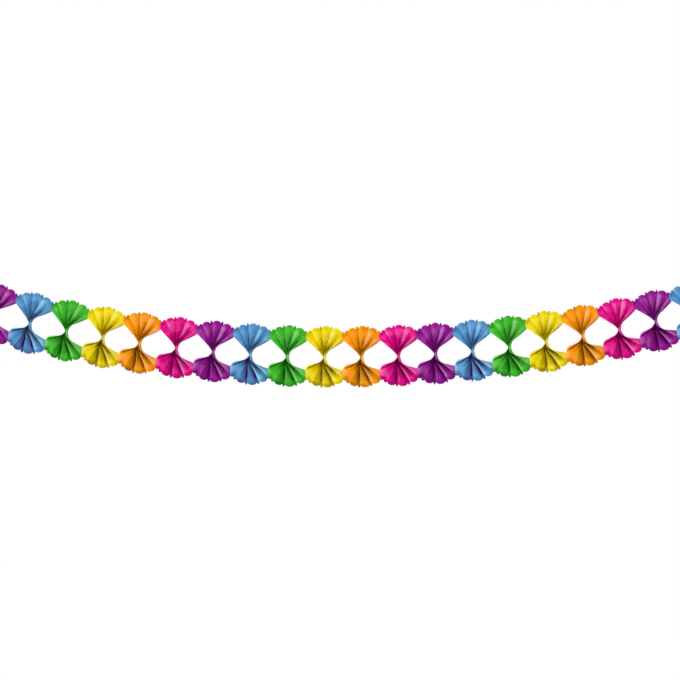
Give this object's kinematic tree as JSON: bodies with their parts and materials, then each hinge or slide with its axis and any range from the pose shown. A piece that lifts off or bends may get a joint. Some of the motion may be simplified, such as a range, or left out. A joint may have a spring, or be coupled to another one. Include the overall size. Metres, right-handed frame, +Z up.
{
  "type": "paper garland",
  "caption": "Hanging swag of pleated tissue paper bows in bright colours, pinched at the waist and glued side by side at their scalloped ends.",
  "frame": {"origin": "centre of the garland's bounding box", "axes": "+X along the garland from the left end to the right end, +Y from the front to the back, +Z up"},
  "size_m": [2.0078, 0.0222, 0.2702],
  "materials": {
    "purple_paper": "matt crinkled tissue",
    "blue_paper": "matt crinkled tissue",
    "green_paper": "matt crinkled tissue",
    "yellow_paper": "matt crinkled tissue",
    "orange_paper": "matt crinkled tissue",
    "pink_paper": "matt crinkled tissue"
  },
  "bodies": {
    "root": {"fan_01_purple": "purple_paper", "fan_02_blue": "blue_paper", "fan_03_green": "green_paper", "fan_04_yellow": "yellow_paper", "fan_05_orange": "orange_paper", "fan_06_pink": "pink_paper", "fan_07_purple": "purple_paper", "fan_08_blue": "blue_paper", "fan_09_green": "green_paper", "fan_10_yellow": "yellow_paper", "fan_11_orange": "orange_paper", "fan_12_pink": "pink_paper", "fan_13_purple": "purple_paper", "fan_14_blue": "blue_paper", "fan_15_green": "green_paper", "fan_16_yellow": "yellow_paper", "fan_17_orange": "orange_paper", "fan_18_pink": "pink_paper", "fan_19_purple": "purple_paper", "fan_20_blue": "blue_paper"}
  },
  "joints": []
}
